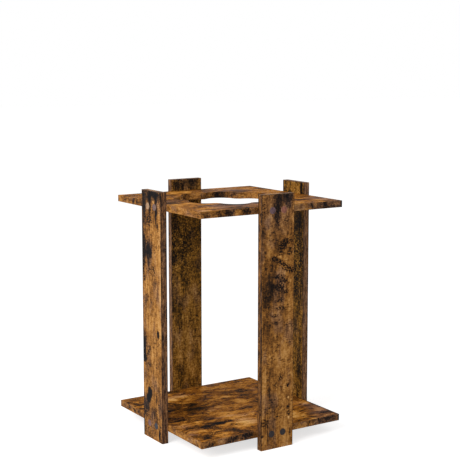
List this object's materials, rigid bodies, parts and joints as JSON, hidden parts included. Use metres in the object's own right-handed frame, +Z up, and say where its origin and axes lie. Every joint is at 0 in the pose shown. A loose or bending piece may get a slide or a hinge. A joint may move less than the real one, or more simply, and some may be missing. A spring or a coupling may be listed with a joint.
{
  "type": "rod rack",
  "caption": "Free-standing square rack of flat boards: upright posts, a raised base board and a top board whose scalloped opening holds rods upright.",
  "frame": {"origin": "centre of the footprint, on the floor", "axes": "+Z up, -Y towards the front post, +X towards the right post"},
  "size_m": [0.4272, 0.4272, 0.6],
  "materials": {
    "board_face": "rustic brown wood print on board, satin",
    "edge_band": "greyish brown wood print, satin",
    "screw_zinc": "zinc plated",
    "cover_film": "dark wood print film, satin"
  },
  "bodies": {
    "root": {"base_board": "board_face", "base_edge_band": "edge_band", "top_board": "board_face", "top_edge_band": "edge_band", "opening_edge_band": "edge_band", "front_post": "board_face", "right_post": "board_face", "back_post": "board_face", "left_post": "board_face", "front_post_band": "edge_band", "right_post_band": "edge_band", "back_post_band": "edge_band", "left_post_band": "edge_band", "front_base_screws": "screw_zinc", "right_base_screws": "screw_zinc", "back_base_screws": "screw_zinc", "left_base_screws": "screw_zinc", "front_top_screws": "screw_zinc", "right_top_screws": "screw_zinc", "back_top_screws": "screw_zinc", "left_top_screws": "screw_zinc", "front_base_covers": "cover_film", "right_base_covers": "cover_film", "back_base_covers": "cover_film", "left_base_covers": "cover_film", "front_top_covers": "cover_film", "right_top_covers": "cover_film", "back_top_covers": "cover_film", "left_top_covers": "cover_film"}
  },
  "joints": []
}
